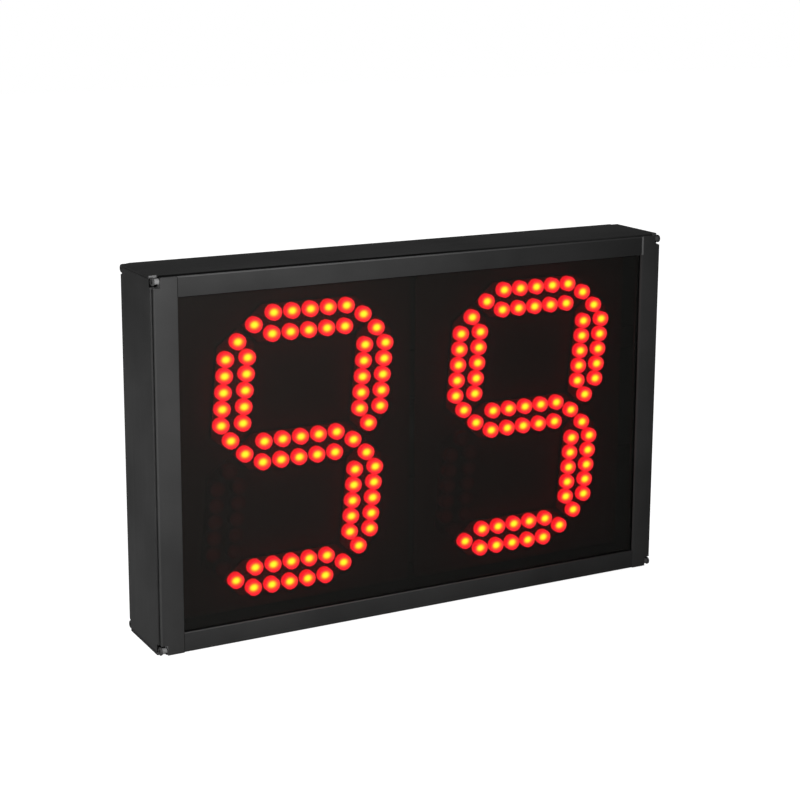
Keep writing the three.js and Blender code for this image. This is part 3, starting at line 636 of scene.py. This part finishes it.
def toSkin(spot):
    # how deep a spot lies under the nearer end or side skin
    return min(halfWidth - abs(spot.x), spot.z, caseHeight - spot.z)


def onSlitWall(middle, normal):
    shallow = toSkin(middle) < profileEdges["slitDepth"]
    behind = halfDepth - abs(middle.y) - profileEdges["slitEnd"]
    return shallow and abs(behind) < closeTo["slit"] and abs(normal.y) > facing["across"]


def inNotch(spot):
    reachX, reachY, reachZ = profileEdges["notch"]
    fromEnd = min(spot.z, caseHeight - spot.z)
    inX = halfWidth - abs(spot.x) < reachX + tiny
    inY = halfDepth - abs(spot.y) < reachY + tiny
    return inX and inY and fromEnd < reachZ + tiny


def onNotchBack(middle, normal):
    behindSlit = halfDepth - abs(middle.y) > profileEdges["slitEnd"]
    return inNotch(middle) and behindSlit and abs(normal.y) > facing["across"]


def onNotchCut(middle, normal):
    onSkin = min(toSkin(middle), halfDepth - abs(middle.y)) < closeTo["skin"]
    return inNotch(middle) and not onSkin and abs(normal.y) < facing["across"]


def onSkinCut(middle, normal):
    return onNotchBack(middle, normal) and toSkin(middle) < profileEdges["stripWall"]


def onHighlitBevel(middle, normal):
    # the right upright's wide inner bevel above the window, which gets a painted highlight
    width = profileEdges["innerEdge"]["right"] + tiny
    onBevel = facing["aslant"] < abs(normal.x) < facing["flat"] and middle.y < -halfDepth + width
    near = abs(middle.x - uprightInner) < width
    return onBevel and near and middle.z > caseHeight - crossInner


def onSideSkin(middle, normal):
    return halfWidth - abs(middle.x) < closeTo["skin"] and abs(normal.x) > facing["square"]


def cutAtWindow(item):
    # crosscuts the wide inner bevel at the top strip's lower side, so that its part above the window can
    # take a painted highlight of its own
    pick(item)
    bpy.ops.object.mode_set(mode="EDIT")
    bpy.ops.mesh.select_all(action="SELECT")
    bpy.ops.mesh.bisect(plane_co=(0, 0, caseHeight - crossInner), plane_no=(0, 0, 1))
    bpy.ops.object.mode_set(mode="OBJECT")


for side in ("left", "right"):
    upright = mergedCopy(f"side_profile_{side}")
    breakSome(upright, profileEdges["innerEdge"][side], profileEdges["innerSegments"], onInnerEdge)
    breakEdges(upright, profileEdges["broken"])
    cutAtWindow(upright)
    settle(upright, f"upright_{side}", "case", "anodised", "uprightBlack")
    # painted highlight on the outer rounded edge, painted light in the slit, painted shade on the notch
    # backs, bare metal on the notch cuts, and a painted highlight on the wide inner bevel above the window
    tintFaces(upright, "uprightEdgeHighlight", onOuterRound)
    tintFaces(upright, "skinBlack", onSideSkin)
    tintFaces(upright, "uprightSlitLight", onSlitWall)
    tintFaces(upright, "notchBackShade", onNotchBack)
    tintFaces(upright, "bareMetalAndHighlight", onNotchCut)
    tintFaces(upright, "bareMetalAndHighlight", onHighlitBevel)
    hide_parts(f"side_profile_{side}")
for level, test in (("top", onTopRound), ("bottom", onLowerLedge)):
    cross = dressedCopy(f"{level}_profile", f"cross_{level}", "case", "anodised", "crossBlack",
                        profileEdges["broken"])
    # painted highlight on the top strip's rounded edge or the bottom strip's ledge, painted shade in the
    # slit, and bare metal on the skin's cut faces
    tintFaces(cross, "crossEdgeHighlight", test)
    tintFaces(cross, "crossSlitShade", onSlitWall)
    tintFaces(cross, "bareMetalAndHighlight", onSkinCut)
print("profiles dressed")

paint(nodes["front_window"], "window")

# Lamps in their cups, on carriers
digits = {
    "rowPitch": 17.5 * mm,
    "rowGap": 18.4 * mm,
    "columnPitch": 14.4 * mm,
    "columnGap": 20.3 * mm,
    "inRow": 5,
    "slant": 0.0888,
    "margin": 7.5 * mm,
    "tip": 10.8 * mm,
    "wall": 3 * mm,
    "rim": 1.2 * mm,
    "dip": 0.6 * mm,
    "broken": 0.4 * mm,
    "dark": "e",
}
lampCup = {
    "sides": 12,
    "smooth": 40,           # degrees
    "radius": 7.1 * mm,
    "oval": (0.925, 1.14),  # the glow is wider across than up, as an oval lamp's is
    "profile": [            # radius, height above the carrier
        (7.1 * mm, -0.5 * mm),
        (7.1 * mm, 5.8 * mm),
        (6.8 * mm, 6.0 * mm),
        (5.0 * mm, 4.5 * mm),
        (3.4 * mm, 3.9 * mm),
        (1.7 * mm, 4.2 * mm),
    ],
}


def along(across):
    pitch = digits["rowPitch"] if across else digits["columnPitch"]
    gap = digits["rowGap"] if across else digits["columnGap"]
    return pitch, gap


def lampPlaces(across):
    pitch, gap = along(across)
    reach = (digits["inRow"] + 1) / 2 * pitch
    places = [(-reach, 0), (reach, 0)]
    for step in range(digits["inRow"]):
        at = (step - (digits["inRow"] - 1) / 2) * pitch
        places += [(at, gap / 2), (at, -gap / 2)]
    return [(a, b) if across else (b, a) for a, b in places]


def carrierOutline(across):
    pitch, gap = along(across)
    tip = (digits["inRow"] + 1) / 2 * pitch + digits["tip"]
    shoulder = (digits["inRow"] - 1) / 2 * pitch + digits["tip"]
    half = gap / 2 + digits["margin"]
    outline = [
        (tip, 0), (shoulder, half), (-shoulder, half), (-tip, 0), (-shoulder, -half), (shoulder, -half)]
    return [(a, b) if across else (b, a) for a, b in outline]


def modelLamp():
    lamp = turnedPiece(lampCup["profile"], lampCup["sides"], "-Y")
    disc = lamp.data.uv_layers.get("UVMap") or lamp.data.uv_layers.new()
    disc.name = "lampDisc"
    rim = lampCup["profile"][1][1]
    squeezeX, squeezeZ = lampCup["oval"]
    for loop in lamp.data.loops:
        spot = lamp.data.vertices[loop.vertex_index].co
        across = math.hypot(spot.x, spot.z)
        down = rim + spot.y if across > lampCup["radius"] - tiny else 0
        share = (across + down) / across / glowReach
        disc.data[loop.index].uv = (spot.x * share * squeezeX, spot.z * share * squeezeZ)
    return lamp


def modelCarrier(outline, back, front):
    plate = drawnPlate(outline, back, front)
    bpy.ops.mesh.inset(thickness=digits["rim"], depth=0)
    bpy.ops.transform.translate(value=(0, digits["dip"], 0))
    finishEditing()
    breakEdges(plate, digits["broken"])
    return plate


def modelSegment(side, letter):
    name = f"segment_{side}_{letter}"
    middle = middleOf(name)
    size = sizeOf(name)
    across = size.x > size.z
    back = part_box(name)[1][1]
    front = back - digits["wall"]

    def leaned(spot):
        return middle.x + spot[0] + digits["slant"] * spot[1], middle.z + spot[1]

    dark = letter == digits["dark"]
    spots = [leaned(spot) for spot in lampPlaces(across)]
    lamps = joined([copyTo(lampMaster, (x, front, z)) for x, z in spots])
    settle(lamps, f"lamps_{side}_{letter}", "case", "dark_lamps" if dark else "lit_lamps",
           "darkLamp" if dark else "litLamp", smooth=lampCup["smooth"])
    carrier = modelCarrier([leaned(spot) for spot in carrierOutline(across)], back, front)
    settle(carrier, f"carrier_{side}_{letter}", "case", "black_board", "carrierRed")
    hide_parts(name)


lampMaster = modelLamp()
for side in ("left", "right"):
    for letter in "abcdefg":
        modelSegment(side, letter)
discard(lampMaster)
print("digits built")

# Corner screws: a black head, then a bright shoulder, painted darker as shade on the right-hand screws
cornerScrew = {
    "sides": 28,
    "smooth": 35,
    "headEnd": 2.45 * mm,
    # the right-hand shoulders take the darker copy: painted shade
    "shoulder": {"left": "screwBright", "right": "screwShoulderShaded"},
    "profile": [            # radius, distance in from the outer skin
        (1.0 * mm, 2.1 * mm),
        (1.5 * mm, 2.1 * mm),
        (1.5 * mm, 0.8 * mm),
        (1.8 * mm, 0.6 * mm),
        (3.1 * mm, 0.6 * mm),
        (3.45 * mm, 0.85 * mm),
        (3.6 * mm, 1.2 * mm),
        (3.6 * mm, 2.2 * mm),
        (3.4 * mm, 2.4 * mm),
        (2.5 * mm, 2.4 * mm),
        (2.5 * mm, 6.7 * mm),
        (1.9 * mm, 6.7 * mm),
        (1.9 * mm, 30 * mm),
    ],
}


def onScrewHead(spot, normal):
    return abs(spot.x) > halfWidth - cornerScrew["headEnd"]


screwMaster = turnedPiece(cornerScrew["profile"], cornerScrew["sides"], "X")
for side in ("left", "right"):
    for front in ("front", "rear"):
        for level in ("lower", "upper"):
            where = f"{side}_{front}_{level}"
            middle = middleOf(f"corner_screw_{where}")
            outer = halfWidth if side == "right" else -halfWidth
            screw = copyTo(screwMaster, (outer, middle.y, middle.z))
            if side == "right":
                screw.rotation_euler = (0, 0, math.pi)
            shoulder = cornerScrew["shoulder"][side]
            settle(screw, f"screw_{where}", "case", "zinc", shoulder, smooth=cornerScrew["smooth"])
            tintFaces(screw, "screwDark", onScrewHead)
            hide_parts(f"corner_screw_{where}")
discard(screwMaster)
print("corner screws set")

# Rear panel and the mains inlet
inletPieces = {             # name, body, slot, finish and how wide the edges are broken
    "mains_inlet": ("inlet_body", "case", "black_plastic", "partBlack", 0.25 * mm),
    "power_rocker": ("rocker_key", "rocker", "black_plastic", "partBlack", 0.3 * mm),
    "fuse_drawer": ("drawer_tray", "drawer", "black_plastic", "partBlack", 0.25 * mm),
    "inlet_pin_live": ("pin_live", "case", "sheet_steel", "nickel", 0.35 * mm),
    "inlet_pin_neutral": ("pin_neutral", "case", "sheet_steel", "nickel", 0.35 * mm),
    "inlet_pin_earth": ("pin_earth", "case", "sheet_steel", "nickel", 0.35 * mm),
}
paint(nodes["rear_panel"], "panelBlack")
for name, dressing in inletPieces.items():
    dressedCopy(name, *dressing)

# Marks on the rocker: a bar for on at its lower end, a ring for off at its upper end
rockerMarks = {
    "lean": 10,             # degrees that the rocker rests at
    "slope": 10.1,          # degrees between each half of its face and its axis
    "axisBack": 2.6 * mm,   # rocker's axis to the middle of a half, outwards
    "rise": 4.5 * mm,       # rocker's axis to the marks, up or down
    "thick": 0.12 * mm,
    "bar": (0.7 * mm, 3.4 * mm),
    "ring": (1.7 * mm, 1.15 * mm),
    "sides": 28,
}


def ontoRocker(mark, up):
    pivot = next(joint for joint in frame["joints"] if joint["name"] == "power_rocker_tilt")["pos_m"]
    lean = Matrix.Rotation(-math.radians(rockerMarks["lean"]), 4, "X")
    spot = Matrix.Translation((0, rockerMarks["axisBack"], up * rockerMarks["rise"]))
    slope = Matrix.Rotation(-up * math.radians(rockerMarks["slope"]), 4, "X")
    mark.matrix_world = Matrix.Translation(pivot) @ lean @ spot @ slope


def modelRing():
    # a flat ring: a disc, set in for its hole and drawn out all round
    outer, inner = rockerMarks["ring"]
    thick = rockerMarks["thick"]
    section = [(inner, -thick), (inner, thick), (outer, thick), (outer, -thick)]
    ring = turnedPiece(section, rockerMarks["sides"], "Y")
    pick(ring)
    bpy.ops.object.mode_set(mode="EDIT")
    bpy.ops.mesh.select_mode(type="FACE")
    bpy.ops.mesh.select_all(action="DESELECT")
    bpy.ops.object.mode_set(mode="OBJECT")
    for face in ring.data.polygons:
        face.select = len(face.vertices) == rockerMarks["sides"]
    bpy.ops.object.mode_set(mode="EDIT")
    bpy.ops.mesh.delete(type="FACE")
    bpy.ops.mesh.select_mode(type="EDGE")
    bpy.ops.mesh.select_non_manifold()
    bpy.ops.mesh.bridge_edge_loops()
    finishEditing()
    return ring


barHalf, barTall = (value / 2 for value in rockerMarks["bar"])
onMark = drawnPlate([(-barHalf, -barTall), (barHalf, -barTall), (barHalf, barTall), (-barHalf, barTall)],
                    -rockerMarks["thick"], rockerMarks["thick"])
finishEditing()
offMark = modelRing()
for mark, name, up in ((onMark, "rocker_mark_on", -1), (offMark, "rocker_mark_off", 1)):
    ontoRocker(mark, up)
    settle(mark, name, "rocker", "black_plastic", "markWhite")
print("mains inlet dressed")

# Data sockets: a nickel shell, a black insert and five pins round a half circle
dataSocket = {
    "sides": 32,
    "shell": [              # radius, place outwards from the panel's face
        (5.5 * mm, -8.0 * mm),
        (5.5 * mm, 2.1 * mm),
        (5.7 * mm, 2.3 * mm),
        (9.8 * mm, 2.3 * mm),
        (10.7 * mm, 1.9 * mm),
        (11.0 * mm, 1.3 * mm),
        (11.0 * mm, 0.3 * mm),
        (8.0 * mm, 0.3 * mm),
        (8.0 * mm, -22.0 * mm),
    ],
    "insert": [(5.2 * mm, -7.8 * mm), (5.2 * mm, -4.2 * mm), (4.9 * mm, -4.0 * mm)],
    "pin": [(0.5 * mm, -4.4 * mm), (0.5 * mm, -0.6 * mm), (0.3 * mm, -0.3 * mm)],
    "pinSides": 10,
    "pins": 5,
    "pinCircle": 3.1 * mm,
    "pinSpan": 200,         # degrees from the first pin to the last
}


def modelSocket(name, short):
    middle = middleOf(name)
    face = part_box(name)[1][1] - dataSocket["shell"][2][1]
    shell = turnedPiece(dataSocket["shell"], dataSocket["sides"], "Y")
    shell.location = (middle.x, face, middle.z)
    settle(shell, short, "case", "socket_shell", "nickel")
    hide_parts(name)
    insert = turnedPiece(dataSocket["insert"], dataSocket["sides"], "Y")
    insert.location = (middle.x, face, middle.z)
    settle(insert, f"{short}_insert", "case", "black_plastic", "partBlack")
    pinMaster = turnedPiece(dataSocket["pin"], dataSocket["pinSides"], "Y")
    pins = []
    for step in range(dataSocket["pins"]):
        turn = math.radians(dataSocket["pinSpan"] * (step / (dataSocket["pins"] - 1) - 0.5))
        x = middle.x + dataSocket["pinCircle"] * math.sin(turn)
        z = middle.z - dataSocket["pinCircle"] * math.cos(turn)
        pins.append(copyTo(pinMaster, (x, face, z)))
    settle(joined(pins), f"{short}_pins", "case", "socket_shell", "brass")
    discard(pinMaster)


modelSocket("data_socket_in", "socket_in")
modelSocket("data_socket_out", "socket_out")

# Keyhole plates with a rivet in each corner
keyholePlate = {
    "broken": 0.3 * mm,
    "rivetSides": 20,
    "rivetInset": 5 * mm,   # from the plate's edges
    "rivet": [(2.1 * mm, -0.2 * mm), (2.1 * mm, 0.1 * mm), (1.7 * mm, 0.4 * mm), (0.9 * mm, 0.52 * mm)],
}
rivetMaster = turnedPiece(keyholePlate["rivet"], keyholePlate["rivetSides"], "Y")
for side in ("left", "right"):
    plate = f"hanger_plate_{side}"
    dressedCopy(plate, f"keyhole_plate_{side}", "case", "zinc", "zinc", keyholePlate["broken"])
    middle = middleOf(plate)
    reach = sizeOf(plate) / 2
    outX, outZ = reach.x - keyholePlate["rivetInset"], reach.z - keyholePlate["rivetInset"]
    rivets = [
        copyTo(rivetMaster, (middle.x + a * outX, middle.y + reach.y, middle.z + b * outZ))
        for a in (-1, 1) for b in (-1, 1)
    ]
    settle(joined(rivets), f"rivets_{side}", "case", "zinc", "zinc")
discard(rivetMaster)
print("rear fittings dressed")

plainFinishes = {
    "boardRed": ("digit_board_left", "digit_board_right"),
    "railBlack": ("board_rail_upper", "board_rail_lower"),
    "steel": ("power_supply",),
    "partBlack": ("supply_core", "supply_terminals", "controller_tray", "controller_chip", "horn"),
    "boardGreen": ("controller_board",),
    "sinkGrey": ("driver_heat_sink",),
    "fuseGlass": ("fuse",),
    "ribbonGrey": ("ribbon_left", "ribbon_right"),
    "leadBlack": ("mains_lead", "supply_lead", "horn_lead", "data_lead_in", "data_lead_out"),
}
for finish, names in plainFinishes.items():
    for name in names:
        paint(nodes[name], finish)
print("inner pieces painted")

# Floor, world and light
studio = {
    "floorSize": 12,
    "floorLevel": -0.4 * mm,
    "floorRoughness": 0.9,
    "floorWhite": 0.35,
    "floorLift": 0.91,      # added for the camera, so that the open floor is white
    "skyWay": (0.25, 0.55, 0.60),   # the world is brightest above and behind the case
    "skyFull": 1.1,
    "skyLow": 0.02,
    "keyPlace": (-0.23, -0.52, 0.38),
    "keyAim": (-0.25, 0.0, 0.30),
    "keySize": 0.3,
    "keyPower": 5.0,
    "sidePlace": (-0.75, -0.02, 0.02),
    "sideAim": (-0.256, -0.02, 0.03),
    "sideSize": 0.2,
    "sidePower": 3.3,
}


def cameraSees(tree):
    # 1 for camera, glossy and transmission rays
    path = tree.nodes.new("ShaderNodeLightPath")
    first = tree.nodes.new("ShaderNodeMath")
    first.operation = "MAXIMUM"
    second = tree.nodes.new("ShaderNodeMath")
    second.operation = "MAXIMUM"
    tree.links.new(path.outputs["Is Camera Ray"], first.inputs[0])
    tree.links.new(path.outputs["Is Glossy Ray"], first.inputs[1])
    tree.links.new(first.outputs[0], second.inputs[0])
    tree.links.new(path.outputs["Is Transmission Ray"], second.inputs[1])
    return second.outputs[0]


def layFloor():
    clearSelection()
    bpy.ops.mesh.primitive_plane_add(size=studio["floorSize"], location=(0, 0, studio["floorLevel"]))
    floor = bpy.context.object
    floor.name = "studioFloor"
    white = (studio["floorWhite"],) * 3
    material = newMaterial("studioFloor", white, studio["floorRoughness"], specular=0.0)
    tree = material.node_tree
    lift = tree.nodes.new("ShaderNodeMath")
    lift.operation = "MULTIPLY"
    lift.inputs[1].default_value = studio["floorLift"]
    tree.links.new(cameraSees(tree), lift.inputs[0])
    tree.nodes["Principled BSDF"].inputs["Emission Color"].default_value = (1, 1, 1, 1)
    intoShader(material, lift.outputs[0], "Emission Strength")
    floor.data.materials.append(material)


def lightWorld():
    world = bpy.data.worlds.new("studioWorld")
    bpy.context.scene.world = world
    world.use_nodes = True
    tree = world.node_tree
    backdrop = tree.nodes["Background"]
    backdrop.inputs["Color"].default_value = (1, 1, 1, 1)
    way = tree.nodes.new("ShaderNodeTexCoord")
    lean = tree.nodes.new("ShaderNodeVectorMath")
    lean.operation = "DOT_PRODUCT"
    lean.inputs[1].default_value = Vector(studio["skyWay"]).normalized()
    sky = tree.nodes.new("ShaderNodeMapRange")
    sky.inputs["To Min"].default_value = studio["skyLow"]
    sky.inputs["To Max"].default_value = studio["skyFull"]
    tree.links.new(way.outputs["Generated"], lean.inputs[0])
    tree.links.new(lean.outputs["Value"], sky.inputs["Value"])
    level = tree.nodes.new("ShaderNodeMapRange")
    level.inputs["To Max"].default_value = 1.0
    tree.links.new(sky.outputs["Result"], level.inputs["To Min"])
    tree.links.new(cameraSees(tree), level.inputs["Value"])
    tree.links.new(level.outputs["Result"], backdrop.inputs["Strength"])


def hangLight(name):
    place = Vector(studio[name + "Place"])
    bpy.ops.object.light_add(type="AREA", location=place)
    light = bpy.context.object
    light.name = name + "Light"
    light.data.size = studio[name + "Size"]
    light.data.energy = studio[name + "Power"]
    ray = Vector(studio[name + "Aim"]) - place
    light.rotation_euler = ray.to_track_quat("-Z", "Y").to_euler()


layFloor()
lightWorld()
hangLight("key")
hangLight("side")
print("studio lit")

bpy.context.scene.view_settings.view_transform = "Standard"
